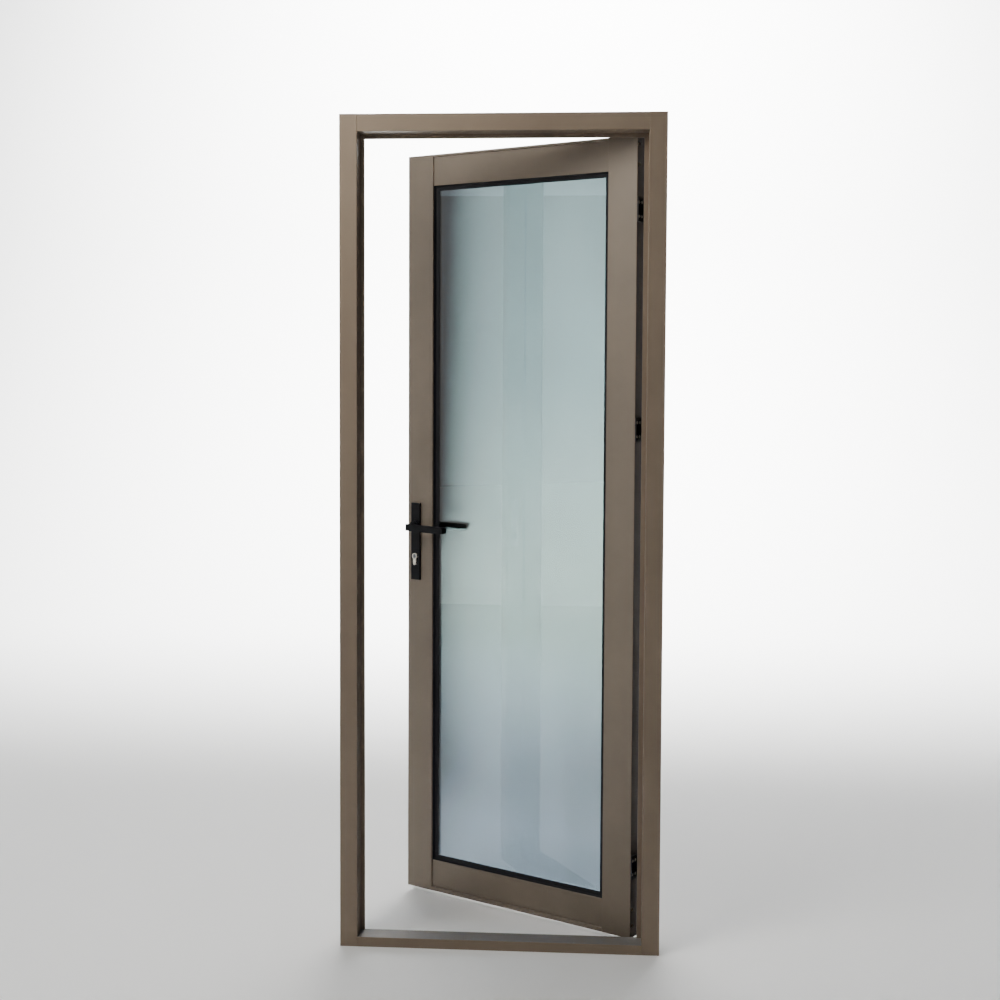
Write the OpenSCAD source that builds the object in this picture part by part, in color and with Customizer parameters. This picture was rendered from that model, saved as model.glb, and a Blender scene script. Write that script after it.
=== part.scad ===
// Hinged glass entrance door: one glazed aluminium leaf in its own outer frame.
// The origin is the middle of the underside of the sill. X runs along the opening,
// with the hinges on +X, Y runs through it, away from the stop side, and Z is up.

/* [Outer frame] */
// Width over the outer frame
frame_w = 810; // [760:5:1000]
// Height over the outer frame
frame_h = 2100; // [2080:10:2400]
// Face width of the side jambs
jamb_face = 44.5; // [42:0.5:50]
// Face width of the head
head_face = 43; // [42:0.5:50]
// Depth of the frame in front of the stop fin
near_d = 52; // [45:1:70]
// Height that the stop fin stands in from the jamb
fin_h = 11; // [10:1:16]
// Height of the sill
sill_h = 25; // [23:1:30]

/* [Leaf] */
// Thickness of the leaf
leaf_t = 45; // [45:1:50]
// Face width of the upright stiles
stile_face = 84; // [80:1:100]
// Face height of the top rail
top_face = 84; // [80:0.5:100]
// Face height of the bottom rail
bottom_face = 87; // [85:1:140]
// Height of the leaf's underside above the floor
leaf_bottom = 14; // [12:1:16]
// Angle that the leaf stands open
open_angle = 30.5; // [0:0.5:90]

/* [Glazing] */
// Thickness of one pane
pane_t = 5; // [4:1:6]
// Gap between the two panes
pane_gap = 12; // [10:1:14]
// Width of the wedge gasket that shows around the near pane
gasket_in = 13.5; // [12:0.5:16]

/* [Hinges] */
// Height of a hinge
hinge_h = 62; // [50:1:80]
// Height of the bottom hinge above the floor
hinge_low = 198; // [160:1:250]
// Height of the middle hinge above the floor
hinge_mid = 1321; // [1300:1:1380]
// Height of the top hinge above the floor
hinge_high = 1872; // [1850:1:1900]
// Radius of the hinge knuckles
knuckle_r = 7; // [6:0.5:7.5]

/* [Handles and lock] */
// Height of the lever handles above the floor
lever_z = 1037; // [1000:1:1060]
// Distance between the lever's axis and the cylinder's axis
lock_centres = 85; // [85:1:92]
// Distance of the lock's axes from the leaf's edge
backset = 30.5; // [28:0.5:32]
// Length of a lever from its axis
lever_l = 118; // [100:0.5:140]
// Height of a lever's bar
lever_h = 19; // [16:1:22]
// Thickness of a lever's bar
lever_t = 14; // [12:1:18]
// Width of a handle plate
plate_w = 28.5; // [28:0.5:32]
// Height of a handle plate
plate_h = 214; // [212:1:240]
// Thickness of a handle plate
plate_t = 7; // [7:0.5:11]
// Throw of the latch bolt
latch_throw = 12; // [8:1:14]
// Throw of the dead bolt
bolt_throw = 20; // [14:1:22]

/* [Hidden] */
$fn = 48;
eps = 0.5;                                  // overrun of a cut past a face
wall = 2;                                   // wall of every hollow section
edge_r = 1.4;                               // radius along the long edges of the sections
fin_r = 0.8;                                // radius along the tip of the stop fin

// Depths in the frame, measured from its near face
fin_t = 7;                                  // thickness of the stop fin
fin_end = near_d + fin_t;
seal_t = 5;                                 // gap from the fin to the closed leaf
leaf_d = fin_end + seal_t;                  // near face of the closed leaf
frame_d = leaf_d + leaf_t + 1;
leaf_y = leaf_d - frame_d / 2;
rebate_s = 38;                              // face that the leaf's edge closes towards
edge_gap = 7.5;                             // gap around the leaf's edge
sill_d = fin_end - 2;                       // depth of the raised part of the sill
sill_low = 5;                               // height of the sill under the leaf
clear = 0.05;                               // running clearance of pins and journals

// The leaf when it is closed
leaf_w = frame_w - 2 * (rebate_s + edge_gap);
leaf_top = frame_h - rebate_s - edge_gap;
leaf_h = leaf_top - leaf_bottom;
rail_step = 4.5;                            // set-back of the rails from the stiles
top_strip = 6;                              // raised strip along the top rail
bottom_strip = 11;                          // raised strip along the bottom rail
nose_end = 12;                              // depth at which the glazing nose ends
glazing_rebate = 6;                         // rebate behind the nose
glass_bite = 3;                             // glass edge past the face of a stile
edge_seal_w = 13;                           // width of the seal and spacer along the glass edge
near_glass = 14;                            // depth of the near pane
far_glass = near_glass + pane_t + pane_gap;
glass_end = far_glass + pane_t;
bead_v = 39;                                // depth of the glazing beads
sight_x = leaf_w / 2 - stile_face;
sight_bottom = leaf_bottom + bottom_face;
sight_top = leaf_top - top_face;

// Joint screws and the ports that they run in
port_r = 4;
screw_r = 2.4;
screw_head_r = 3.4;
screw_head_t = 3;
access_r = 4.2;                             // screwdriver holes in the jambs
leaf_access_r = 4.8;                        // screwdriver holes in the leaf's edges
port_in = 14;                               // inner ports' distance from the rails' inner edges
screw_l = 34;
port_v = rail_step + wall + port_r - eps;
top_ports = [20, top_face - port_in];
bottom_ports = [bottom_strip + 20, bottom_face - port_in];
head_ports = [[head_face / 2, 5.5], [head_face / 2, fin_end - 5.5], [rebate_s / 2, frame_d - 5.5]];
sill_ports = [[sill_h / 2, 5.5], [sill_h / 2, sill_d - 5.5]];

// Wall fixings through the jambs
fixing_r = 5;
fixing_d = leaf_d + 20;
fixing_z = [300, 850, 1250, 1800];

// Hinges
plate_x = 3;                                // thickness of a hinge plate
axis_x = leaf_w / 2 + edge_gap / 2;
axis_y = leaf_y + leaf_t + 0.75 + knuckle_r;
hinge_zs = [hinge_low, hinge_mid, hinge_high];
pin_r = 3.5;
knuckle_end = 18;                           // height of each outer knuckle
washer_t = 1;
hinge_plate_v = 1;                          // depth on the leaf's edge at which a plate starts
hinge_screw_v = [6.5, 19.5];
hinge_screw_z = 17.5;

// Lock
lock_x = -leaf_w / 2 + backset;
lock_v = leaf_t / 2;
cyl_z = lever_z - lock_centres;
case_v = 16;
case_u = backset + 17;
case_low = cyl_z - 40;
case_high = lever_z + 44;
case_wall = 1.5;
face_t = 3;
face_w = 20;
face_low = case_low - 11;
face_high = case_high + 12;
latch_size = [30, 11.8, 18];
latch_z = lever_z + 15;
bolt_size = [40, 11.8, 20];
bolt_z = cyl_z + 20;
slide_gap = 0.1;
plate_mid = (lever_z + cyl_z) / 2 - 1;
plate_bolt_z = [plate_mid - plate_h / 2 + 12, plate_mid + plate_h / 2 - 12];
plate_bolt_r = 2.5;
collar_r = 14;                              // bearing collar between the plate and the neck
collar_l = 8;
neck_r = 7;
neck_l = 23;                                // from the plate to the back of the bar
near_drop = 2;                              // each bar's middle below the lever's axis
far_drop = 0;
lever_back = 6.5;                           // length of the bar behind its axis
near_droop = 1.5;                           // slope of each bar in degrees; the two are not quite level
far_droop = -0.3;
spindle_w = 8;
follower_r = 8;
follower_flange = 12;
euro_r = 8.5;
euro_web = 10;
euro_drop = 24.5;
euro_proud = 4;
plug_r = 6.5;
cam_t = 9.8;
cam_reach = 15;
cyl_screw_z = cyl_z - 20;

frame_colour = [0.45, 0.39, 0.33];
leaf_colour = [0.44, 0.41, 0.37];
black = [0.1, 0.1, 0.11];
rubber = [0.07, 0.07, 0.08];
bright = [0.75, 0.75, 0.74];
glass_colour = [0.66, 0.74, 0.76, 0.4];

// ---- placing ----

// s runs in from the outer face of a jamb, then depth, then height
module at_jamb(side)
    translate([side * frame_w / 2, -frame_d / 2, 0])
        mirror([side > 0 ? 1 : 0, 0, 0])
            children();

// A section (distance down from z, depth) run along X
module along_down(z, length, y)
    translate([0, y, z])
        rotate([0, 90, 0])
            linear_extrude(length, center = true)
                children();

// A section (distance up from z, depth) run along X
module along_up(z, length, y)
    translate([0, y, z])
        rotate([0, -90, 0])
            linear_extrude(length, center = true)
                children();

// u runs in from the leaf's edge, then depth from its near face, then height
module at_edge(side)
    translate([side * leaf_w / 2, leaf_y, 0])
        mirror([side > 0 ? 1 : 0, 0, 0])
            children();

// Turns what belongs to the leaf about the hinge pins to the angle it stands at
module swung()
    translate([axis_x, axis_y, 0])
        rotate([0, 0, -open_angle])
            translate([-axis_x, -axis_y, 0])
                children();

// A rod along s or u
module rod(r, from, to)
    translate([from, 0, 0])
        rotate([0, 90, 0])
            cylinder(r = r, h = to - from);

// A rod along the depth
module rod_in(r, from, to)
    translate([0, from, 0])
        rotate([-90, 0, 0])
            cylinder(r = r, h = to - from);

// ---- outer frame ----

module frame_outline(face)
    polygon([
        [0, 0], [face, 0], [face, near_d], [face + fin_h, near_d],
        [face + fin_h, fin_end], [rebate_s, fin_end], [rebate_s, frame_d], [0, frame_d]
    ]);

// What is taken off a corner of an outline to round it; dx and dy point into the section
module corner_round(x, y, dx, dy, r)
    translate([x, y])
        mirror([dx < 0 ? 1 : 0, 0])
            mirror([0, dy < 0 ? 1 : 0])
                difference() {
                    translate([-eps, -eps])
                        square(r + eps);
                    translate([r, r])
                        circle(r);
                }

module frame_section(face)
    difference() {
        frame_outline(face);
        corner_round(0, 0, 1, 1, edge_r);
        corner_round(face, 0, -1, 1, edge_r);
        corner_round(face + fin_h, near_d, -1, 1, fin_r);
        corner_round(face + fin_h, fin_end, -1, -1, fin_r);
        corner_round(rebate_s, frame_d, -1, -1, edge_r);
        corner_round(0, frame_d, 1, -1, edge_r);
        translate([wall, wall])
            square([face - 2 * wall, fin_end - 2 * wall]);
        translate([wall, fin_end])
            square([rebate_s - 2 * wall, frame_d - fin_end - wall]);
        seal_stem(face);
    }

// Groove in the back of the fin, and the stem of the seal that fills it
module seal_stem(face)
    translate([face + fin_h / 2 - 1.5, fin_end - 3])
        square([3, 3]);

module seal_bulb(face)
    translate([face + fin_h / 2, fin_end])
        bulb((seal_t - clear) / 2);

// Hollow bulb with a flat foot, standing on the line y = 0
module bulb(r)
    difference() {
        union() {
            translate([-r, 0])
                square([2 * r, r]);
            translate([0, r])
                circle(r);
        }
        translate([0, r])
            circle(r / 2);
    }

// Ring sections that screws run into, one at each place in the list
module port_walls(places)
    for (p = places)
        translate(p)
            circle(port_r);

module port_bores(places)
    for (p = places)
        translate(p)
            circle(screw_r);

// Where the screws of the head and of the sill pass through a jamb, as [s, depth, z]
function jamb_screws() = concat(
    [for (p = head_ports) [p[1] > fin_end ? rebate_s : jamb_face, p[1], frame_h - p[0]]],
    [for (p = sill_ports) [jamb_face, p[1], p[0]]]
);

module jamb(side) {
    at_jamb(side)
        difference() {
            linear_extrude(frame_h)
                frame_section(jamb_face);
            for (p = jamb_screws())
                translate([0, p[1], p[2]]) {
                    rod(access_r, -eps, wall + eps);
                    rod(screw_r, p[0] - wall - eps, p[0] + fin_h + eps);
                }
            for (z = fixing_z)
                translate([0, fixing_d, z])
                    rod(fixing_r, -eps, rebate_s + eps);
            if (side > 0)
                hinge_screw_holes(rebate_s);
            if (side < 0)
                strike_cuts();
        }
}

module hinge_screw_holes(s)
    for (z = hinge_zs, v = hinge_screw_v, dz = [-1, 1])
        translate([0, leaf_d + v, z + dz * hinge_screw_z])
            rod(2, s - wall - eps, s + eps);

module jamb_hinge_side()
    color(frame_colour)
        jamb(1);

module jamb_lock_side()
    color(frame_colour)
        jamb(-1);

module both_jambs_solid()
    for (side = [-1, 1])
        at_jamb(side)
            linear_extrude(frame_h)
                frame_outline(jamb_face);

module head()
    color(frame_colour)
        difference() {
            along_down(frame_h, frame_w - 2 * rebate_s, -frame_d / 2)
                difference() {
                    union() {
                        frame_section(head_face);
                        port_walls(head_ports);
                    }
                    port_bores(head_ports);
                }
            both_jambs_solid();
        }

module sill_section()
    difference() {
        union() {
            difference() {
                square([sill_h, sill_d]);
                translate([wall, wall])
                    square([sill_h - 2 * wall, sill_d - 2 * wall]);
                corner_round(sill_h, 0, -1, 1, edge_r);
                corner_round(0, 0, 1, 1, edge_r);
            }
            port_walls(sill_ports);
            translate([sill_h - 8, sill_d - 4])
                square([6, 3]);
            square([sill_low, frame_d]);
        }
        port_bores(sill_ports);
        translate([sill_h - 6.5, sill_d - 3])
            square([3, 3]);
    }

module sill()
    color(frame_colour)
        difference() {
            along_up(0, frame_w - 2 * rebate_s, -frame_d / 2)
                sill_section();
            both_jambs_solid();
        }

module frame_joint_screws()
    color(bright)
        for (side = [-1, 1], p = jamb_screws())
            at_jamb(side)
                translate([0, p[1], p[2]])
                    joint_screw(p[0] - wall);

// Pan head lying on a wall at s, shank going in
module joint_screw(s) {
    rod(screw_head_r, s - screw_head_t, s);
    rod(screw_r, s - eps, s + screw_l);
}

module side_seal(side)
    color(rubber)
        at_jamb(side)
            translate([0, 0, sill_h])
                linear_extrude(frame_h - head_face - sill_h)
                    union() {
                        seal_stem(jamb_face);
                        seal_bulb(jamb_face);
                    }

module frame_seal_hinge_side()
    side_seal(1);

module frame_seal_lock_side()
    side_seal(-1);

module frame_seal_top()
    color(rubber)
        along_down(frame_h, frame_w - 2 * (jamb_face + fin_h), -frame_d / 2)
            union() {
                seal_stem(head_face);
                seal_bulb(head_face);
            }

module frame_seal_bottom()
    color(rubber)
        along_up(0, frame_w - 2 * (jamb_face + fin_h), -frame_d / 2)
            translate([sill_h - 5, sill_d])
                union() {
                    translate([-1.5, -3])
                        square([3, 3]);
                    bulb((leaf_d - sill_d - clear) / 2);
                }

// ---- strike ----

strike_v = leaf_d + lock_v;
strike_w = 24;
strike_t = 2.5;
strike_low = bolt_z - 22;
strike_high = latch_z + latch_size[2] + 22;
strike_screw_z = [strike_low + 9, strike_high - 9];
box_wall = 1;
box_gap = 1;                                // room around a bolt in its strike box

// Window for one bolt, grown by an amount all round, from s0 to s1
module bolt_window(size, z, grow, s0, s1)
    translate([s0, strike_v - size[1] / 2 - grow, z - grow])
        cube([s1 - s0, size[1] + 2 * grow, size[2] + 2 * grow]);

module strike_windows(grow, s0, s1) {
    bolt_window(latch_size, latch_z, grow, s0, s1);
    bolt_window(bolt_size, bolt_z, grow, s0, s1);
}

module strike_cuts() {
    strike_windows(box_gap + box_wall, rebate_s - wall - eps, rebate_s + eps);
    for (z = strike_screw_z)
        translate([0, strike_v, z])
            rod(2, rebate_s - wall - eps, rebate_s + eps);
}

module strike_plate()
    color(bright)
        at_jamb(-1)
            difference() {
                translate([rebate_s, strike_v - strike_w / 2, strike_low])
                    cube([strike_t, strike_w, strike_high - strike_low]);
                strike_windows(box_gap, rebate_s - eps, rebate_s + strike_t + eps);
                for (z = strike_screw_z)
                    translate([0, strike_v, z])
                        countersunk_hole(rebate_s, rebate_s + strike_t);
            }

// Through hole with its countersink at s1
module countersunk_hole(s0, s1) {
    rod(2, s0 - eps, s1 + eps);
    translate([s1 - 2, 0, 0])
        rotate([0, 90, 0])
            cylinder(r1 = 2, r2 = 4, h = 2);
    rod(4, s1, s1 + eps);
}

// Countersunk screw, its head flush with s1, shank going towards s0
module countersunk_screw(s0, s1)
    difference() {
        union() {
            rod(2, s0, s1 - 1);
            translate([s1 - 2, 0, 0])
                rotate([0, 90, 0])
                    cylinder(r1 = 2, r2 = 4, h = 2);
        }
        cross_recess(s1);
    }

module cross_recess(s1)
    for (a = [0, 90])
        rotate([a, 0, 0])
            translate([s1 - 1.2, -0.5, -2.2])
                cube([2, 1, 4.4]);

module strike_boxes()
    color(black)
        at_jamb(-1)
            difference() {
                strike_box_blocks(box_gap + box_wall, 0);
                strike_box_blocks(box_gap, box_wall);
            }

// The two pockets' blocks, their floors set up by an amount
module strike_box_blocks(grow, floor_t) {
    bolt_window(latch_size, latch_z, grow,
        rebate_s - latch_throw + floor_t, rebate_s + (floor_t > 0 ? eps : 0));
    bolt_window(bolt_size, bolt_z, grow,
        rebate_s - bolt_throw + floor_t, rebate_s + (floor_t > 0 ? eps : 0));
}

module strike_magnet()
    color([0.4, 0.4, 0.42])
        at_jamb(-1)
            bolt_window(latch_size, latch_z, 0,
                rebate_s - latch_throw + box_wall, rebate_s - latch_throw + box_wall + 3);

module strike_screws()
    color(bright)
        at_jamb(-1)
            for (z = strike_screw_z)
                translate([0, strike_v, z])
                    countersunk_screw(rebate_s - 12, rebate_s + strike_t);

// ---- hinges ----

// The two knuckle levels of the frame's part, and the one between them
function low_knuckle(z) = [z - hinge_h / 2, knuckle_end];
function high_knuckle(z) = [z + hinge_h / 2 - knuckle_end, knuckle_end];
function mid_knuckle(z) = [
    z - hinge_h / 2 + knuckle_end + washer_t + clear,
    hinge_h - 2 * (knuckle_end + washer_t + clear)
];

module knuckle(level, x)
    translate([0, 0, level[0]]) {
        translate([axis_x, axis_y, 0])
            cylinder(r = knuckle_r, h = level[1]);
        translate([x, leaf_y + leaf_t - 6, 0])
            cube([plate_x, axis_y - leaf_y - leaf_t + 6, level[1]]);
    }

module hinge_plate(x, z, levels, bore, screw_from, screw_to)
    difference() {
        union() {
            translate([x, leaf_y + hinge_plate_v, z - hinge_h / 2])
                cube([plate_x, leaf_t - hinge_plate_v, hinge_h]);
            for (level = levels)
                knuckle(level, x);
        }
        translate([axis_x, axis_y, z - hinge_h / 2 - eps])
            cylinder(r = bore, h = hinge_h + 2 * eps);
        for (v = hinge_screw_v, dz = [-1, 1])
            translate([0, leaf_y + v, z + dz * hinge_screw_z])
                hinge_countersink(screw_from, screw_to);
    }

// Screw hole from one side of a plate to the other, wide at the second
module hinge_countersink(from, to)
    translate([from, 0, 0])
        mirror([to < from ? 1 : 0, 0, 0])
            countersunk_hole(0, plate_x);

module hinge_frame_leaf(z)
    color(black)
        hinge_plate(axis_x + 0.75, z, [low_knuckle(z), high_knuckle(z)], pin_r,
            axis_x + 0.75 + plate_x, axis_x + 0.75);

module hinge_door_leaf(z)
    color(black)
        swung()
            hinge_plate(leaf_w / 2, z, [mid_knuckle(z)], pin_r + clear,
                leaf_w / 2, leaf_w / 2 + plate_x);

module hinge_bottom_frame_leaf()
    hinge_frame_leaf(hinge_low);

module hinge_middle_frame_leaf()
    hinge_frame_leaf(hinge_mid);

module hinge_top_frame_leaf()
    hinge_frame_leaf(hinge_high);

module hinge_bottom_door_leaf()
    hinge_door_leaf(hinge_low);

module hinge_middle_door_leaf()
    hinge_door_leaf(hinge_mid);

module hinge_top_door_leaf()
    hinge_door_leaf(hinge_high);

pin_cap_t = 2.5;

module hinge_pin(z)
    color(black)
        translate([axis_x, axis_y, z - hinge_h / 2]) {
            cylinder(r = pin_r, h = hinge_h);
            for (level = [-pin_cap_t, hinge_h])
                translate([0, 0, level])
                    cylinder(r = knuckle_r - 0.6, h = pin_cap_t);
        }

module hinge_bottom_pin()
    hinge_pin(hinge_low);

module hinge_middle_pin()
    hinge_pin(hinge_mid);

module hinge_top_pin()
    hinge_pin(hinge_high);

module hinge_washers()
    color(rubber)
        for (z = hinge_zs, level = [z - hinge_h / 2 + knuckle_end, z + hinge_h / 2 - knuckle_end - washer_t])
            translate([axis_x, axis_y, level])
                difference() {
                    cylinder(r = knuckle_r - 0.2, h = washer_t);
                    translate([0, 0, -eps])
                        cylinder(r = pin_r, h = washer_t + 2 * eps);
                }

module hinge_screw_set(from, to)
    for (z = hinge_zs, v = hinge_screw_v, dz = [-1, 1])
        translate([from, leaf_y + v, z + dz * hinge_screw_z])
            mirror([to < from ? 1 : 0, 0, 0])
                countersunk_screw(-10, plate_x);

module hinge_frame_screws()
    color(bright)
        hinge_screw_set(axis_x + 0.75 + plate_x, axis_x);

module hinge_door_screws()
    color(bright)
        swung()
            hinge_screw_set(leaf_w / 2, axis_x);

// ---- leaf ----

module stile_outline()
    polygon([
        [0, 0], [stile_face, 0], [stile_face, nose_end],
        [stile_face - glazing_rebate, nose_end], [stile_face - glazing_rebate, leaf_t], [0, leaf_t]
    ]);

module stile_section()
    difference() {
        stile_outline();
        corner_round(0, 0, 1, 1, edge_r);
        corner_round(stile_face, 0, -1, 1, edge_r);
        corner_round(0, leaf_t, 1, -1, edge_r);
        translate([wall, wall])
            square([stile_face - glazing_rebate - 2 * wall, leaf_t - 2 * wall]);
        translate([stile_face - glazing_rebate, wall])
            square([glazing_rebate - wall, nose_end - 2 * wall]);
    }

module stile(side)
    swung()
        at_edge(side)
            difference() {
                translate([0, 0, leaf_bottom])
                    linear_extrude(leaf_h)
                        stile_section();
                for (z = rail_screw_zs())
                    translate([0, port_v, z]) {
                        rod(leaf_access_r, -eps, wall + eps);
                        rod(screw_r, stile_face - glazing_rebate - wall - eps, stile_face + eps);
                    }
                if (side > 0)
                    for (z = hinge_zs, v = hinge_screw_v, dz = [-1, 1])
                        translate([0, v, z + dz * hinge_screw_z])
                            rod(2, -eps, wall + eps);
                if (side < 0)
                    lock_cuts();
            }

function rail_screw_zs() = concat(
    [for (w = top_ports) leaf_top - w],
    [for (w = bottom_ports) leaf_bottom + w]
);

// Slots and holes for the lock, the cylinder and the handles
module lock_cuts() {
    translate([-eps, lock_v - face_w / 2, face_low])
        cube([wall + 2 * eps, face_w, face_high - face_low]);
    translate([backset, 0, lever_z])
        rod_in(11, -eps, leaf_t + eps);
    translate([backset, 0, cyl_z])
        euro_profile(0.8, -eps, leaf_t + eps);
    for (z = plate_bolt_z)
        translate([backset, 0, z])
            rod_in(plate_bolt_r + 0.5, -eps, leaf_t + eps);
}

module stile_hinge_side()
    color(leaf_colour)
        stile(1);

module stile_lock_side()
    color(leaf_colour)
        stile(-1);

module rail_section(face, strip, ports)
    difference() {
        union() {
            difference() {
                polygon([
                    [0, 0], [strip, 0], [strip, rail_step], [face, rail_step], [face, nose_end],
                    [face - glazing_rebate, nose_end], [face - glazing_rebate, leaf_t], [0, leaf_t]
                ]);
                translate([wall, rail_step + wall])
                    square([face - glazing_rebate - 2 * wall, leaf_t - rail_step - 2 * wall]);
                translate([face - glazing_rebate, rail_step + wall])
                    square([glazing_rebate - wall, nose_end - rail_step - 2 * wall]);
                corner_round(0, 0, 1, 1, edge_r);
                corner_round(strip, 0, -1, 1, edge_r);
                corner_round(face, rail_step, -1, 1, edge_r);
                corner_round(0, leaf_t, 1, -1, edge_r);
            }
            port_walls([for (w = ports) [w, port_v]]);
        }
        port_bores([for (w = ports) [w, port_v]]);
    }

module both_stiles_solid()
    for (side = [-1, 1])
        at_edge(side)
            translate([0, 0, leaf_bottom])
                linear_extrude(leaf_h)
                    stile_outline();

rail_l = leaf_w - 2 * (stile_face - glazing_rebate);

module top_rail()
    color(leaf_colour)
        swung()
            difference() {
                along_down(leaf_top, rail_l, leaf_y)
                    rail_section(top_face, top_strip, top_ports);
                both_stiles_solid();
            }

module bottom_rail()
    color(leaf_colour)
        swung()
            difference() {
                along_up(leaf_bottom, rail_l, leaf_y)
                    rail_section(bottom_face, bottom_strip, bottom_ports);
                both_stiles_solid();
            }

module rail_joint_screws()
    color(bright)
        swung()
            for (side = [-1, 1], z = rail_screw_zs())
                at_edge(side)
                    translate([0, port_v, z])
                        joint_screw(stile_face - glazing_rebate - wall);

// ---- glazing ----

// Block over the glazed opening, grown by an amount past the faces of stiles and rails
module pane(grow, v0, v1)
    translate([-sight_x - grow, leaf_y + v0, sight_bottom - grow])
        cube([2 * (sight_x + grow), v1 - v0, sight_top - sight_bottom + 2 * grow]);

// Rectangular ring between two such blocks
module ring(outer, inner, v0, v1)
    difference() {
        pane(outer, v0, v1);
        pane(inner, v0 - eps, v1 + eps);
    }

module glass_near()
    color(glass_colour)
        swung()
            pane(glass_bite, near_glass, near_glass + pane_t);

module glass_far()
    color(glass_colour)
        swung()
            pane(glass_bite, far_glass, glass_end);

spacer_w = 7;
butyl_t = 0.5;                              // seal between the spacer and each pane

module spacer_ring()
    ring(glass_bite - edge_seal_w + spacer_w, glass_bite - edge_seal_w,
        near_glass + pane_t + butyl_t, far_glass - butyl_t);

module glass_spacer()
    color([0.5, 0.5, 0.51])
        swung()
            spacer_ring();

module edge_seal()
    color(rubber)
        swung()
            difference() {
                ring(glass_bite, glass_bite - edge_seal_w, near_glass + pane_t, far_glass);
                spacer_ring();
            }

// Wedge from the edge of a stile's or a rail's face down to the glass
module gasket_wedge(face)
    polygon([
        [face, rail_step + 0.5], [face + 4, nose_end - 1], [face + gasket_in, nose_end + 0.5],
        [face + gasket_in, near_glass], [face, near_glass]
    ]);

module glazing_gasket_near()
    color(rubber)
        swung() {
            ring(glass_bite, -eps, nose_end, near_glass);
            along_down(leaf_top, 2 * sight_x, leaf_y)
                gasket_wedge(top_face);
            along_up(leaf_bottom, 2 * sight_x, leaf_y)
                gasket_wedge(bottom_face);
            for (side = [-1, 1])
                at_edge(side)
                    translate([0, 0, sight_bottom])
                        linear_extrude(sight_top - sight_bottom)
                            gasket_wedge(stile_face);
        }

far_gasket_in = 2.5;                        // far gasket's edge inside the face of a stile

module glazing_gasket_far()
    color(rubber)
        swung()
            ring(glass_bite, -far_gasket_in, glass_end, bead_v);

// Blocks in the gap between the glass and the sections: length, across the glass, gap
module setting_blocks()
    color(black)
        swung() {
            gap = glazing_rebate - glass_bite;
            for (x = [-170, 170])
                translate([x - 50, leaf_y + near_glass, sight_bottom - glazing_rebate])
                    cube([100, glass_end - near_glass, gap]);
            translate([-220, leaf_y + near_glass, sight_top + glass_bite])
                cube([100, glass_end - near_glass, gap]);
            for (side = [-1, 1])
                translate([side * (sight_x + glass_bite) - (side < 0 ? gap : 0),
                           leaf_y + near_glass,
                           side < 0 ? sight_bottom + 180 : sight_top - 280])
                    cube([gap, glass_end - near_glass, 100]);
        }

bead_face = 9;

// Section of a bead, from the foot of the glazing rebate inwards
module bead_outline(face)
    polygon([
        [face - glazing_rebate, bead_v], [face - glazing_rebate + bead_face, bead_v],
        [face - glazing_rebate + bead_face, leaf_t - 4],
        [face - glazing_rebate + bead_face - 2, leaf_t], [face - glazing_rebate, leaf_t]
    ]);

module bead_hollow(face)
    translate([face - glazing_rebate + 1.5, bead_v + 1.2])
        square([bead_face - 5, leaf_t - bead_v - 2.4]);

module bead_section(face)
    difference() {
        bead_outline(face);
        bead_hollow(face);
    }

module cross_beads_solid() {
    along_down(leaf_top, rail_l, leaf_y)
        bead_outline(top_face);
    along_up(leaf_bottom, rail_l, leaf_y)
        bead_outline(bottom_face);
}

module bead_top()
    color(leaf_colour)
        swung()
            along_down(leaf_top, rail_l, leaf_y)
                bead_section(top_face);

module bead_bottom()
    color(leaf_colour)
        swung()
            along_up(leaf_bottom, rail_l, leaf_y)
                bead_section(bottom_face);

module side_bead(side)
    color(leaf_colour)
        swung()
            difference() {
                at_edge(side)
                    translate([0, 0, sight_bottom - glazing_rebate])
                        linear_extrude(sight_top - sight_bottom + 2 * glazing_rebate)
                            bead_section(stile_face);
                cross_beads_solid();
            }

module bead_hinge_side()
    side_bead(1);

module bead_lock_side()
    side_bead(-1);

// ---- lock ----

module at_lock()
    swung()
        at_edge(-1)
            children();

// Profile cylinder's outline about its axis, grown by an amount, along the depth
module euro_profile(grow, v0, v1)
    translate([0, v1, 0])
        rotate([90, 0, 0])
            linear_extrude(v1 - v0) {
                circle(euro_r + grow);
                translate([-euro_web / 2 - grow, -euro_drop + euro_web / 2])
                    square([euro_web + 2 * grow, euro_drop - euro_web / 2]);
                translate([0, -euro_drop + euro_web / 2])
                    circle(euro_web / 2 + grow);
            }

module lock_case()
    color(bright)
        at_lock()
            difference() {
                translate([face_t, lock_v - case_v / 2, case_low])
                    cube([case_u - face_t, case_v, case_high - case_low]);
                translate([face_t - eps, lock_v - case_v / 2 + case_wall, case_low + case_wall])
                    cube([case_u - face_t - case_wall + eps, case_v - 2 * case_wall,
                          case_high - case_low - 2 * case_wall]);
                translate([backset, 0, lever_z])
                    rod_in(follower_r + clear, 0, leaf_t);
                translate([backset, 0, cyl_z])
                    euro_profile(0.2, 0, leaf_t);
            }

// Windows of the latch and the dead bolt at the leaf's edge
module edge_windows(u0, u1)
    for (b = [[latch_size, latch_z], [bolt_size, bolt_z]])
        translate([u0, lock_v - b[0][1] / 2 - slide_gap, b[1] - slide_gap])
            cube([u1 - u0, b[0][1] + 2 * slide_gap, b[0][2] + 2 * slide_gap]);

face_screw_z = [face_low + 6, face_high - 6];

// Screws enter the leaf's edge at u = 0
module from_edge()
    mirror([1, 0, 0])
        children();

module lock_faceplate()
    color(bright)
        at_lock()
            difference() {
                translate([0, lock_v - face_w / 2, face_low])
                    cube([face_t, face_w, face_high - face_low]);
                edge_windows(-eps, face_t + eps);
                for (z = concat(face_screw_z, cyl_screw_z))
                    translate([0, lock_v, z])
                        from_edge()
                            countersunk_hole(-face_t, 0);
            }

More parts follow.
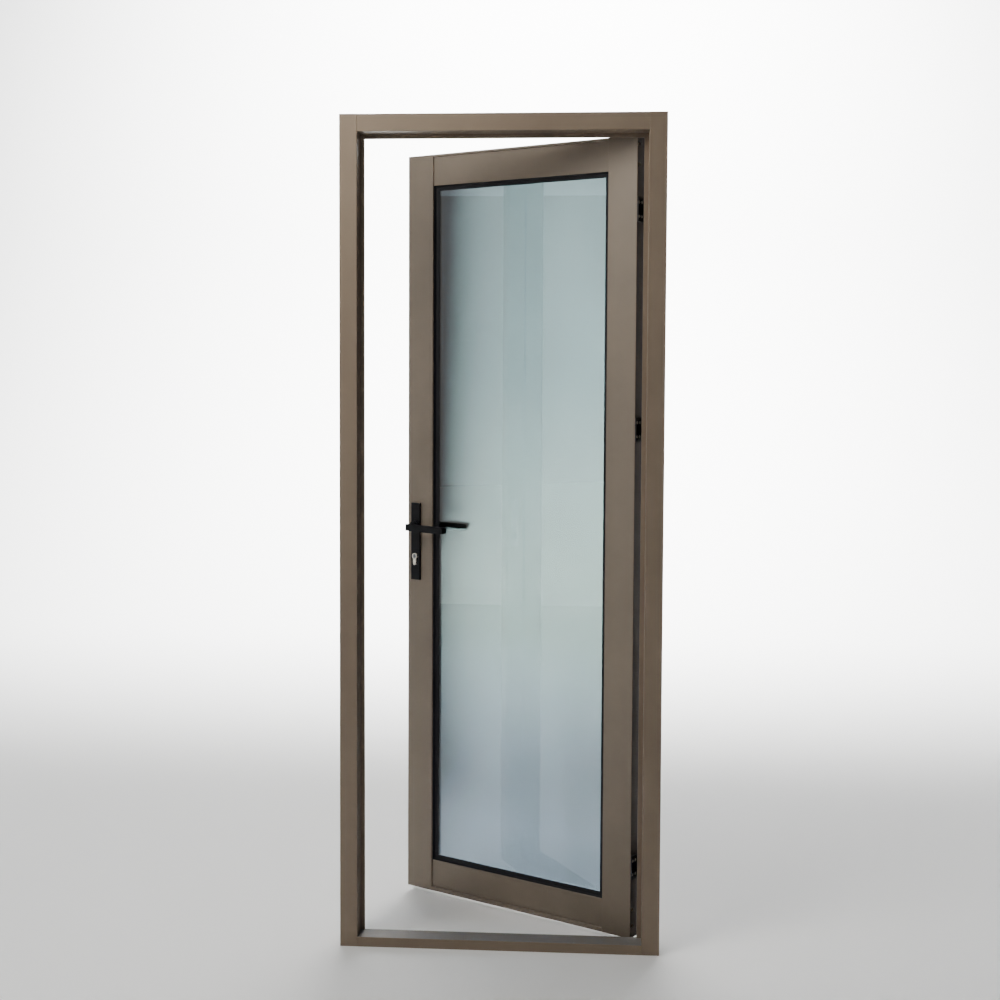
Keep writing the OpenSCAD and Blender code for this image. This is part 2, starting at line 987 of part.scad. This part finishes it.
module lock_lugs()
    color(bright)
        at_lock()
            difference() {
                for (z = face_screw_z)
                    translate([wall, lock_v - 15, z - 5])
                        cube([6, 30, 10]);
                translate([wall - eps, lock_v - face_w / 2, face_low])
                    cube([face_t - wall + eps, face_w, face_high - face_low]);
                for (z = face_screw_z)
                    translate([0, lock_v, z])
                        rod(2, 0, 20);
            }

module faceplate_screws()
    color(bright)
        at_lock()
            for (z = face_screw_z)
                translate([0, lock_v, z])
                    from_edge()
                        countersunk_screw(-12, 0);

module cylinder_screw()
    color(bright)
        at_lock()
            translate([0, lock_v, cyl_screw_z])
                from_edge()
                    countersunk_screw(-backset - euro_web / 2, 0);

module latch_bolt()
    color(bright)
        at_lock()
            translate([0, lock_v - latch_size[1] / 2, latch_z])
                cube(latch_size);

module dead_bolt()
    color(bright)
        at_lock()
            translate([0, lock_v - bolt_size[1] / 2, bolt_z])
                cube(bolt_size);

module cylinder_body()
    color(bright)
        at_lock()
            difference() {
                translate([backset, 0, cyl_z])
                    euro_profile(0, -plate_t - euro_proud, leaf_t + plate_t + euro_proud);
                translate([backset, 0, cyl_z])
                    rod_in(plug_r + clear, -plate_t - euro_proud - eps, leaf_t + plate_t + euro_proud + eps);
                translate([backset - euro_r - 1, lock_v - cam_t / 2 - 0.1, cyl_z - cam_reach - 0.6])
                    cube([2 * euro_r + 2, cam_t + 0.2, cam_reach + euro_r + 2]);
                translate([0, lock_v, cyl_screw_z])
                    rod(2, 0, backset + euro_web / 2 + eps);
            }

// Plug with its key slot at v0, from there to v1
module plug(v0, v1)
    translate([backset, 0, cyl_z])
        difference() {
            rod_in(plug_r, min(v0, v1), max(v0, v1));
            translate([-0.7, v0 - 20, -4.2])
                cube([1.4, 40, 8.4]);
        }

module cylinder_plug_near()
    color(bright)
        at_lock()
            plug(-plate_t - euro_proud, lock_v - cam_t / 2);

module cylinder_plug_far()
    color(bright)
        at_lock()
            plug(leaf_t + plate_t + euro_proud, lock_v + cam_t / 2 + 0.1);

module cylinder_cam()
    color(bright)
        at_lock()
            translate([backset, lock_v - cam_t / 2, cyl_z]) {
                rod_in(euro_r - 0.4, 0, cam_t);
                translate([-4, 0, 0])
                    cube([8, cam_t, cam_reach - 0.6]);
            }

// ---- handles ----

module handle_plate(near)
    difference() {
        translate([backset - plate_w / 2, near ? -plate_t : leaf_t, plate_mid - plate_h / 2])
            cube([plate_w, plate_t, plate_h]);
        translate([backset, 0, lever_z])
            rod_in(neck_r + clear, -plate_t - eps, leaf_t + plate_t + eps);
        translate([backset, 0, cyl_z])
            euro_profile(0.2, -plate_t - eps, leaf_t + plate_t + eps);
        for (z = plate_bolt_z)
            translate([backset, 0, z])
                plate_bolt(near ? 0 : 1);
    }

// Bolt that clamps the two plates through the leaf, or the hole that takes it
module plate_bolt(hole) {
    rod_in(plate_bolt_r, -plate_t + 3, leaf_t + plate_t - 1);
    translate([0, leaf_t + plate_t - 2.5, 0])
        rotate([-90, 0, 0])
            cylinder(r1 = plate_bolt_r, r2 = plate_bolt_r + 2.5, h = 2.5 + hole * 0.01);
}

module handle_plate_near()
    color(black)
        at_lock()
            handle_plate(true);

module handle_plate_far()
    color(black)
        at_lock()
            handle_plate(false);

module handle_plate_bolts()
    color(black)
        at_lock()
            for (z = plate_bolt_z)
                translate([backset, 0, z])
                    difference() {
                        plate_bolt(0);
                        translate([0, leaf_t + plate_t - 2, 0])
                            rotate([-90, 0, 0])
                                cylinder(r = 1.7, h = 3, $fn = 6);
                    }

// Lever's bar seen from the front, with a radius at each corner
module bar_front(droop, drop)
    rotate(-droop)
        translate([-lever_back, -drop - lever_h / 2])
            difference() {
                square([lever_back + lever_l, lever_h]);
                corner_round(0, 0, 1, 1, bar_corner);
                corner_round(0, lever_h, 1, -1, bar_corner);
                corner_round(lever_back + lever_l, 0, -1, 1, tip_corner);
                corner_round(lever_back + lever_l, lever_h, -1, -1, tip_corner);
            }

bar_corner = 2.5;
tip_corner = 5;
return_w = 12;                              // the tip turns back toward the door
return_l = 8;
return_in = 7;                              // how far it runs into the bar
return_h = 17;
bar_back_r = 6;                             // radius along the back of the bar

// What is taken off the bar along its two back edges
module bar_back_rounding(droop, drop)
    rotate([0, droop, 0])
        for (dz = [-1, 1])
            translate([-lever_back - 5, 0, -drop + dz * lever_h / 2])
                rotate([0, 90, 0])
                    linear_extrude(lever_back + lever_l + 10)
                        corner_round(0, 0, dz, -1, bar_back_r);

spindle_in = 26;                            // length of the spindle inside each neck
grub_v = -22;                               // place of the grub screw along the neck

// The tip's return toward the door, seen from the front
module return_front(droop, drop)
    rotate(-droop)
        translate([lever_l - return_w, -drop - return_h / 2])
            difference() {
                square([return_w, return_h]);
                for (dx = [-1, 1], dy = [-1, 1])
                    corner_round(dx < 0 ? return_w : 0, dy < 0 ? return_h : 0, dx, dy, tip_corner);
            }

// A lever about its axis; its collar bears on the plate and its bar lies beyond the neck
module lever(droop, drop)
    difference() {
        union() {
            rod_in(neck_r, -neck_l - plate_t - bar_back_r, -1);
            rod_in(collar_r, -plate_t - collar_l, -plate_t - clear);
            translate([0, -neck_l - plate_t, 0])
                difference() {
                    rotate([90, 0, 0])
                        linear_extrude(lever_t)
                            bar_front(droop, drop);
                    bar_back_rounding(droop, drop);
                }
            translate([0, return_l - neck_l - plate_t, 0])
                rotate([90, 0, 0])
                    linear_extrude(return_l + return_in)
                        return_front(droop, drop);
        }
        translate([-spindle_w / 2, -spindle_in, -spindle_w / 2])
            cube([spindle_w, spindle_in + eps, spindle_w]);
        translate([0, grub_v, 0])
            grub(-eps);
    }

module grub(grow)
    translate([0, 0, -neck_r + 0.6 + grow])
        cylinder(r = 2, h = neck_r - 0.6 - spindle_w / 2 - grow);

module at_far_lever()
    translate([backset, leaf_t, lever_z])
        mirror([0, 1, 0])
            children();

module lever_near()
    color(black)
        at_lock()
            translate([backset, 0, lever_z])
                lever(near_droop, near_drop);

module lever_far()
    color(black)
        at_lock()
            at_far_lever()
                lever(far_droop, far_drop);

module spindle()
    color(bright)
        at_lock()
            translate([backset - spindle_w / 2, -spindle_in, lever_z - spindle_w / 2])
                cube([spindle_w, leaf_t + 2 * spindle_in, spindle_w]);

module lock_follower()
    color(bright)
        at_lock()
            translate([backset, 0, lever_z])
                difference() {
                    union() {
                        rod_in(follower_r, lock_v - case_v / 2, lock_v + case_v / 2);
                        rod_in(follower_flange, lock_v - 6, lock_v + 6);
                    }
                    translate([-spindle_w / 2, 0, -spindle_w / 2])
                        cube([spindle_w, leaf_t, spindle_w]);
                }

module grub_screws()
    color(bright)
        at_lock() {
            translate([backset, grub_v, lever_z])
                grub(0);
            at_far_lever()
                translate([0, grub_v, 0])
                    grub(0);
        }

jamb_hinge_side();
jamb_lock_side();
head();
sill();
frame_joint_screws();
frame_seal_hinge_side();
frame_seal_lock_side();
frame_seal_top();
frame_seal_bottom();
strike_plate();
strike_boxes();
strike_magnet();
strike_screws();
hinge_bottom_frame_leaf();
hinge_middle_frame_leaf();
hinge_top_frame_leaf();
hinge_bottom_pin();
hinge_middle_pin();
hinge_top_pin();
hinge_washers();
hinge_frame_screws();
stile_hinge_side();
stile_lock_side();
top_rail();
bottom_rail();
rail_joint_screws();
glass_near();
glass_far();
glass_spacer();
edge_seal();
glazing_gasket_near();
glazing_gasket_far();
setting_blocks();
bead_top();
bead_bottom();
bead_hinge_side();
bead_lock_side();
hinge_bottom_door_leaf();
hinge_middle_door_leaf();
hinge_top_door_leaf();
hinge_door_screws();
lock_case();
lock_faceplate();
lock_lugs();
faceplate_screws();
handle_plate_near();
handle_plate_far();
handle_plate_bolts();
cylinder_body();
cylinder_screw();
lever_near();
lever_far();
spindle();
lock_follower();
grub_screws();
latch_bolt();
dead_bolt();
cylinder_plug_near();
cylinder_cam();
cylinder_plug_far();
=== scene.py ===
import math

import bpy
from mathutils import Euler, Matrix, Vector


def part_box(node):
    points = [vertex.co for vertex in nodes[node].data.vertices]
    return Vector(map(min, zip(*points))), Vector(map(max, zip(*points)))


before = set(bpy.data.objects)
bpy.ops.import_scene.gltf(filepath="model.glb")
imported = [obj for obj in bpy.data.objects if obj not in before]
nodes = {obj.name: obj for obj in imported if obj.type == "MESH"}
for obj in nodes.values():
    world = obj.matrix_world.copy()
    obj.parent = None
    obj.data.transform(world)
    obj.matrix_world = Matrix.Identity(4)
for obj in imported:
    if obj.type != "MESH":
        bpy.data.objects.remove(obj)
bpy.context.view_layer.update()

scene = bpy.context.scene
leafAngle = math.radians(30.5)      # how far the leaf stands open at rest
noiseBand = (0.3, 0.7)              # where nearly all of a noise pattern's values lie
print("door loaded:", len(nodes), "nodes")


def linear(level):
    # a 0-255 screen value to linear light, by the standard curve
    share = level / 255
    return ((share + 0.055) / 1.055) ** 2.4 if level > 10 else share / 12.92


def srgb(r, g, b):
    return linear(r), linear(g), linear(b), 1


def addNode(tree, kind, **inputs):
    made = tree.nodes.new(kind)
    for key, value in inputs.items():
        made.inputs[key.replace("_", " ")].default_value = value
    return made


def newFinish(name, **inputs):
    mat = bpy.data.materials.new(name)
    mat.use_nodes = True
    tree = mat.node_tree
    tree.nodes.clear()
    out = tree.nodes.new("ShaderNodeOutputMaterial")
    shader = addNode(tree, "ShaderNodeBsdfPrincipled", **inputs)
    tree.links.new(shader.outputs[0], out.inputs["Surface"])
    return mat, tree, shader


def noiseOn(tree, scale, detail=3.0, rough=0.5, stretch=(1, 1, 1)):
    coord = tree.nodes.new("ShaderNodeTexCoord")
    mapping = addNode(tree, "ShaderNodeMapping", Scale=stretch)
    tex = addNode(tree, "ShaderNodeTexNoise", Scale=scale, Detail=detail, Roughness=rough)
    tree.links.new(coord.outputs["Object"], mapping.inputs["Vector"])
    tree.links.new(mapping.outputs["Vector"], tex.inputs["Vector"])
    return tex.outputs["Fac"]


def remap(tree, source, low, high, toLow, toHigh):
    node = addNode(tree, "ShaderNodeMapRange", From_Min=low, From_Max=high, To_Min=toLow, To_Max=toHigh)
    tree.links.new(source, node.inputs["Value"])
    return node.outputs["Result"]


def maths(tree, operation, *values):
    node = tree.nodes.new("ShaderNodeMath")
    node.operation = operation
    for socket, value in zip(node.inputs, values):
        if isinstance(value, (float, int)):
            socket.default_value = value
        else:
            tree.links.new(value, socket)
    return node.outputs[0]


def mixColor(tree, factor, a, b):
    node = tree.nodes.new("ShaderNodeMix")
    node.data_type = "RGBA"
    for socket, value in ((node.inputs[0], factor), (node.inputs[6], a), (node.inputs[7], b)):
        if isinstance(value, (tuple, float, int)):
            socket.default_value = value
        else:
            tree.links.new(value, socket)
    return node.outputs[2]


def bumpOn(tree, height, strength, distance, under=None):
    node = addNode(tree, "ShaderNodeBump", Strength=strength, Distance=distance)
    tree.links.new(height, node.inputs["Height"])
    if under:
        tree.links.new(under, node.inputs["Normal"])
    return node.outputs["Normal"]


def facing(tree, turn):
    # the surface's own direction, along the bar, across it and up
    coord = tree.nodes.new("ShaderNodeTexCoord")
    mapping = addNode(tree, "ShaderNodeMapping", Rotation=(0, 0, turn))
    mapping.vector_type = "NORMAL"
    split = tree.nodes.new("ShaderNodeSeparateXYZ")
    tree.links.new(coord.outputs["Normal"], mapping.inputs["Vector"])
    tree.links.new(mapping.outputs["Vector"], split.inputs[0])
    return split.outputs


# how edge wear and the dust layer, which on the sill also stands for painted sky reflection, spread:
# the noise that breaks them up and the band of it that is used, the least cover, and between which
# values of the face's direction they come in
wearSpread = dict(
    scale=55, detail=4, rough=0.65, band=(0.4, 0.65), least=0.2, turned=(0.98, 0.8),
)
dustAndSkySheenSpread = dict(
    scale=26, detail=5, rough=0.62, band=(0.25, 0.65), least=0.55, turned=(0.7, 0.98), duller=0.3,
)
paintedShadeTurned = (0.9, 0.99)
sparkBand = (0.6, 0.75)
grainDepth = 0.0001
peelDepth = 0.0003


def patches(tree, spread):
    noise = noiseOn(tree, spread["scale"], spread["detail"], spread["rough"])
    return remap(tree, noise, *spread["band"], spread["least"], 1)


def coat(name, look, turn=0.0):
    # a painted, moulded or metal finish: slow change of tone and fine grain, then
    # sparkle, edge wear, dust (on the sill also painted sky reflection) and painted shade on a side
    # edge where the look asks for them
    mat, tree, shader = newFinish(name, Metallic=look["metallic"], IOR=look.get("ior", 1.5))
    stretch = look.get("stretch", (1, 1, 1))
    cloud = noiseOn(tree, look["cloudScale"], 4, 0.55)
    grain = noiseOn(tree, look["grainScale"], 2, 0.6, stretch)
    tone = remap(tree, cloud, *noiseBand, 0, 1)
    tone = mixColor(tree, tone, srgb(*look["dark"]), srgb(*look["light"]))
    if "spark" in look:
        flecks = remap(tree, grain, *sparkBand, 0, look["sparkle"])
        tone = mixColor(tree, flecks, tone, srgb(*look["spark"]))
    gloss = remap(tree, cloud, *noiseBand, *look["roughness"])
    if "wear" in look or "dustAndSkySheen" in look or "paintedEdgeShade" in look:
        side, front, up = facing(tree, turn)
    if "wear" in look:
        flat = maths(tree, "MAXIMUM", maths(tree, "ABSOLUTE", side), maths(tree, "ABSOLUTE", front))
        flat = maths(tree, "MAXIMUM", flat, maths(tree, "ABSOLUTE", up))
        edge = remap(tree, flat, *wearSpread["turned"], 0, look["wearAmount"])
        edge = maths(tree, "MULTIPLY", edge, patches(tree, wearSpread))
        tone = mixColor(tree, edge, tone, srgb(*look["wear"]))
    if "dustAndSkySheen" in look:
        # grey layer on upward faces: dust, and on the sill also painted sky reflection
        layer = remap(tree, up, *dustAndSkySheenSpread["turned"], 0, look["dustAndSkySheenAmount"])
        layer = maths(tree, "MULTIPLY", layer, patches(tree, dustAndSkySheenSpread))
        tone = mixColor(tree, layer, tone, srgb(*look["dustAndSkySheen"]))
        gloss = maths(tree, "ADD", gloss, maths(tree, "MULTIPLY", layer, dustAndSkySheenSpread["duller"]))
    # painted shade: faces turned along the bar toward the hinge take the darker colour
    if "paintedEdgeShade" in look:
        tone = mixColor(tree, remap(tree, side, *paintedShadeTurned, 0, 1), tone, srgb(*look["paintedEdgeShade"]))
    tree.links.new(tone, shader.inputs["Base Color"])
    tree.links.new(gloss, shader.inputs["Roughness"])
    fine = bumpOn(tree, grain, look["grainBump"], grainDepth)
    if "peel" in look:
        fine = bumpOn(tree, noiseOn(tree, look["peelScale"], 2, 0.5), look["peel"], peelDepth, fine)
    tree.links.new(fine, shader.inputs["Normal"])
    return mat


weldReach = 0.00001
sharpAngle = math.radians(30)       # an edge that turns more than this is rounded


def softenEdges(obj, width, segments):
    obj.modifiers.new("weld", "WELD").merge_threshold = weldReach
    bevel = obj.modifiers.new("edges", "BEVEL")
    bevel.width = width
    bevel.segments = segments
    bevel.limit_method = "ANGLE"
    bevel.angle_limit = sharpAngle
    obj.modifiers.new("normals", "WEIGHTED_NORMAL").keep_sharp = True


def dress(names, material, width=0.0, segments=2):
    for name in names:
        obj = nodes[name]
        obj.data.materials.clear()
        obj.data.materials.append(material)
        for poly in obj.data.polygons:
            poly.use_smooth = True
        if width:
            softenEdges(obj, width, segments)


# bronze powder coat of the fixed frame
frameLook = dict(
    dark=(116, 101, 85), light=(127, 112, 95), spark=(168, 152, 132), sparkle=0.35,
    metallic=0.1, roughness=(0.54, 0.64), cloudScale=3.2, grainScale=2200, grainBump=0.12,
    peel=0.22, peelScale=420, wear=(150, 136, 118), wearAmount=0.35,
)
frameCoat = coat("frameBronze", frameLook)
dress(["jamb_hinge_side", "jamb_lock_side", "head"], frameCoat, 0.0005)

# the sill wears the same coat, greyed on its upward faces: partly dust, partly painted reflection of
# the sky
sillDustAndSkySheenLook = dict(frameLook, dustAndSkySheen=(118, 118, 119), dustAndSkySheenAmount=0.85)
dress(["sill"], coat("sillBronzeDustAndSkySheen", sillDustAndSkySheenLook), 0.0005)

# the leaf's coat is a little greyer than the frame's
leafLook = dict(
    dark=(112, 101, 88), light=(123, 111, 97), spark=(162, 149, 134), sparkle=0.35,
    metallic=0.15, roughness=(0.44, 0.54), cloudScale=3.6, grainScale=2200, grainBump=0.12,
    peel=0.22, peelScale=420, wear=(146, 136, 124), wearAmount=0.35,
    dustAndSkySheen=(116, 115, 114), dustAndSkySheenAmount=0.4,
)
leafCoat = coat("leafBronze", leafLook, leafAngle)
dress(["stile_lock_side", "top_rail", "bottom_rail"], leafCoat, 0.0005)
# painted shade: the hinge edge of the stile is coloured darker than the rest, standing in for the shade
# in the gap at the hinge jamb
hingeStileShadedLook = dict(leafLook, paintedEdgeShade=(62, 54, 50))
dress(["stile_hinge_side"], coat("hingeStileBronzePaintedShade", hingeStileShadedLook, leafAngle), 0.0005)
dress(["bead_top", "bead_bottom", "bead_hinge_side", "bead_lock_side"], leafCoat, 0.0004)
print("frame and leaf coated")

# black rubber of the seals and of the wedge round the glass
gasketLook = dict(
    dark=(14, 15, 19), light=(22, 23, 27), metallic=0.0, ior=1.3, roughness=(0.45, 0.6),
    cloudScale=14, grainScale=900, grainBump=0.25, dustAndSkySheen=(70, 70, 71), dustAndSkySheenAmount=0.3,
)
sealLook = dict(gasketLook, dark=(22, 21, 22), light=(34, 33, 33), roughness=(0.5, 0.7))
dress([n for n in nodes if n.startswith("frame_seal")], coat("sealRubber", sealLook))
dress([n for n in nodes if n.startswith("glazing_gasket")], coat("wedgeRubber", gasketLook, leafAngle))

# sealant and spacer bar between the two panes
sealantLook = dict(gasketLook, dark=(15, 18, 22), light=(22, 25, 29), roughness=(0.3, 0.42))
spacerLook = dict(
    dark=(128, 132, 136), light=(150, 153, 156), metallic=0.8, roughness=(0.42, 0.55),
    cloudScale=30, grainScale=260, grainBump=0.15, stretch=(1, 1, 0.05),
)
dress(["edge_seal"], coat("edgeSealant", sealantLook, leafAngle))
dress(["glass_spacer"], coat("spacerBar", spacerLook))

# grey green glass, with painted reflection that turns it lighter and bluer toward its foot and painted
# shade that darkens it near the lock-side gasket and toward the ends; its haze is even in the middle
# and thins out toward the lock side and the ends. Heights run from -1 at the foot to 1 at the top, and
# each band says between which heights a change comes in; widths are in metres
paneLook = dict(
    high=(135, 148, 149), middle=(152, 164, 162), low=(202, 214, 224), edge=(54, 60, 64),
    middleBand=(0.45, -0.1), lowBand=(-0.28, -0.85), sightLine=0.027, edgeWidth=0.09,
    shifts=((0.052, (0.06, -0.1)), (0.13, (-0.72, -1.0))), topFade=0.25, footFade=0.02,
    clear=0.995, hazy=0.94, cloudScale=2.4, cloudStretch=(1.6, 1.6, 0.7), cloudAmount=0.07,
)


def floatGlass(name, look):
    low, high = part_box("glass_near")
    mat, tree, shader = newFinish(name, Roughness=0.0, IOR=1.5)
    coord = tree.nodes.new("ShaderNodeTexCoord")
    split = tree.nodes.new("ShaderNodeSeparateXYZ")
    tree.links.new(coord.outputs["Object"], split.inputs[0])
    height = remap(tree, split.outputs[2], low[2], high[2], -1, 1)
    # distance from the gasket on the lock side; lower down the haze reaches closer and the band of
    # painted shade is narrower
    start = -look["sightLine"]
    wide = (high[0] - low[0]) / math.cos(leafAngle)
    inward = remap(tree, split.outputs[0], low[0], high[0], start, start + wide)
    for shift, band in look["shifts"]:
        inward = maths(tree, "ADD", inward, remap(tree, height, *band, 0, shift))
    decay = maths(tree, "EXPONENT", maths(tree, "MULTIPLY", inward, -1 / look["edgeWidth"]))
    reach = maths(tree, "SUBTRACT", 1.0, decay)
    fade = remap(tree, height, -1, 1, look["footFade"], look["topFade"])
    ends = maths(tree, "MULTIPLY", maths(tree, "MULTIPLY", height, height), fade)
    cloud = noiseOn(tree, look["cloudScale"], 3, 0.5, look["cloudStretch"])
    cloud = remap(tree, cloud, *noiseBand, -look["cloudAmount"], look["cloudAmount"])
    hazeAndPaintedShade = maths(tree, "ADD", maths(tree, "SUBTRACT", reach, ends), cloud)
    # grey green tint with painted reflection: the colour turns lighter and bluer toward the foot
    tintAndPaintedReflection = srgb(*look["high"])
    for band, tone in ((look["middleBand"], look["middle"]), (look["lowBand"], look["low"])):
        tintAndPaintedReflection = mixColor(tree, remap(tree, height, *band, 0, 1), tintAndPaintedReflection, srgb(*tone))
    # painted shade: where the mask falls toward 0, near the lock-side gasket and toward the top and
    # foot, the glass takes the dark edge tone
    tree.links.new(mixColor(tree, hazeAndPaintedShade, srgb(*look["edge"]), tintAndPaintedReflection), shader.inputs["Base Color"])
    clearness = remap(tree, hazeAndPaintedShade, 0, 1, look["clear"], look["hazy"])
    tree.links.new(clearness, shader.inputs["Transmission Weight"])
    return mat


dress(["glass_near", "glass_far"], floatGlass("floatGlass", paneLook))
print("glass and rubbers done")

# satin black of the lever set
leverLook = dict(
    dark=(7, 9, 13), light=(14, 16, 20), metallic=0.0, ior=1.26, roughness=(0.36, 0.46),
    cloudScale=30, grainScale=1500, grainBump=0.2, wear=(60, 62, 66), wearAmount=0.3,
)
leverCoat = coat("handleBlack", leverLook, leafAngle)
dress(["lever_near", "lever_far"], leverCoat, 0.0018, 4)
dress(["handle_plate_near", "handle_plate_far"], leverCoat, 0.0012, 3)
dress(["handle_plate_bolts"], leverCoat, 0.0003)

# black hinges
hingeLook = dict(
    dark=(14, 14, 15), light=(24, 24, 25), metallic=0.0, ior=1.4, roughness=(0.34, 0.46),
    cloudScale=24, grainScale=1500, grainBump=0.2, wear=(82, 80, 76), wearAmount=0.35,
)
hingeParts = [n for n in nodes if n.startswith("hinge_") and n.endswith(("_leaf", "_pin"))]
dress(hingeParts, coat("hingeBlack", hingeLook), 0.0006)

# black nylon inside the frame
nylonLook = dict(
    dark=(26, 26, 26), light=(38, 38, 38), metallic=0.0, roughness=(0.5, 0.62),
    cloudScale=30, grainScale=700, grainBump=0.2,
)
dress(["setting_blocks", "strike_boxes", "hinge_washers"], coat("blackNylon", nylonLook), 0.0003)

# bright zinc of the screws
screwLook = dict(
    dark=(196, 192, 184), light=(236, 233, 226), metallic=0.35, roughness=(0.22, 0.36),
    cloudScale=60, grainScale=300, grainBump=0.15,
)
dress([n for n in nodes if n.endswith(("_screws", "_screw"))], coat("zincSteel", screwLook), 0.0002)

# brushed steel of the lock
lockLook = dict(
    dark=(138, 136, 132), light=(186, 184, 180), metallic=1.0, roughness=(0.26, 0.42),
    cloudScale=45, grainScale=260, grainBump=0.15, stretch=(1, 1, 60),
)
dress(["strike_plate", "lock_case", "lock_faceplate", "lock_lugs", "spindle", "lock_follower",
       "latch_bolt", "dead_bolt", "strike_magnet"], coat("lockSteel", lockLook), 0.0004)

# satin nickel of the cylinder, with duller plugs
cylinderLook = dict(
    dark=(176, 172, 162), light=(228, 223, 208), metallic=0.9, roughness=(0.2, 0.34),
    cloudScale=140, grainScale=260, grainBump=0.12,
)
dress(["cylinder_body", "cylinder_cam"], coat("satinNickel", cylinderLook), 0.0004)
plugLook = dict(cylinderLook, dark=(112, 114, 116), light=(146, 147, 147))
dress(["cylinder_plug_near", "cylinder_plug_far"], coat("plugNickel", plugLook), 0.0004)
print("hardware done")

# pale floor that turns up into a wall behind, in one sheet
stage = dict(
    width=28.0, front=-11.0, back=7.0, height=9.0, curve=2.5, steps=16,
    color=(252, 252, 251), roughness=0.85,
)


def sweptFloor(s):
    curve = s["curve"]
    bend = s["back"] - curve
    profile = [(s["front"], 0.0), (bend, 0.0)]
    for i in range(1, s["steps"] + 1):
        a = math.pi / 2 * i / s["steps"]
        profile.append((bend + curve * math.sin(a), curve * (1 - math.cos(a))))
    profile.append((s["back"], s["height"]))
    half = s["width"] / 2
    verts = [(x, y, z) for y, z in profile for x in (-half, half)]
    faces = [(2 * i, 2 * i + 1, 2 * i + 3, 2 * i + 2) for i in range(len(profile) - 1)]
    mesh = bpy.data.meshes.new("floor")
    mesh.from_pydata(verts, [], faces)
    for poly in mesh.polygons:
        poly.use_smooth = True
    obj = bpy.data.objects.new("floor", mesh)
    scene.collection.objects.link(obj)
    finish = newFinish("paleFloor", Base_Color=srgb(*s["color"]), Roughness=s["roughness"])
    mesh.materials.append(finish[0])
    return obj


sweptFloor(stage)

# a warm key and a second lamp near the top of the door on the lock side, a cool and
# a neutral fill further off on that side, and a wide lamp that lights the wall behind
lamps = [
    dict(name="keySoft", at=(-1.3, -1.4, 2.8), aim=(0, 0, 1.4),
         size=1.3, power=22, color=(1.0, 0.97, 0.93)),
    dict(name="topSoft", at=(-0.8, -0.95, 2.65), aim=(0, 0, 1.3),
         size=0.8, power=14, color=(1.0, 0.95, 0.85)),
    dict(name="leftHigh", at=(-4.6, -2.6, 3.7), aim=(0, 0, 1.4),
         size=2.4, power=26, color=(0.68, 0.86, 1.0)),
    dict(name="leftSoft", at=(-4.6, -2.6, 1.2), aim=(0, 0, 1.1),
         size=3.0, power=36, color=(1.0, 0.97, 0.93)),
    dict(name="backSoft", at=(0.0, 3.2, 5.5), aim=(0, 7.0, 2.2),
         size=5.0, power=1800, color=(1.0, 1.0, 1.0), spread=110),
]
skyLight = dict(color=(0.93, 0.96, 1.0, 1), strength=0.15)


def softLamp(spec):
    data = bpy.data.lights.new(spec["name"], "AREA")
    data.shape = "SQUARE"
    data.size = spec["size"]
    data.energy = spec["power"]
    data.color = spec["color"]
    data.spread = math.radians(spec.get("spread", 180))
    obj = bpy.data.objects.new(spec["name"], data)
    obj.location = spec["at"]
    beam = Vector(spec["aim"]) - Vector(spec["at"])
    obj.rotation_euler = beam.to_track_quat("-Z", "Y").to_euler()
    obj.visible_camera = False
    scene.collection.objects.link(obj)


for spec in lamps:
    softLamp(spec)
scene.world = bpy.data.worlds.new("studio")
scene.world.use_nodes = True
sky = scene.world.node_tree.nodes["Background"]
sky.inputs["Color"].default_value = skyLight["color"]
sky.inputs["Strength"].default_value = skyLight["strength"]

cameraPlace = dict(
    at=(0.2433, -3.828, 1.4676), turn=4.114, down=3.38, roll=0.246,      # metres, degrees
    lens=54.84, shiftX=0.0106, shiftY=-0.0393,
)


def placeCamera(c):
    data = bpy.data.cameras.new("camera")
    data.lens = c["lens"]
    data.shift_x = c["shiftX"]
    data.shift_y = c["shiftY"]
    obj = bpy.data.objects.new("camera", data)
    look = Euler((math.radians(90 - c["down"]), 0, math.radians(c["turn"])))
    look.rotate_axis("Z", math.radians(c["roll"]))
    obj.location = c["at"]
    obj.rotation_euler = look
    scene.collection.objects.link(obj)
    scene.camera = obj


placeCamera(cameraPlace)
print("floor, light and camera done")
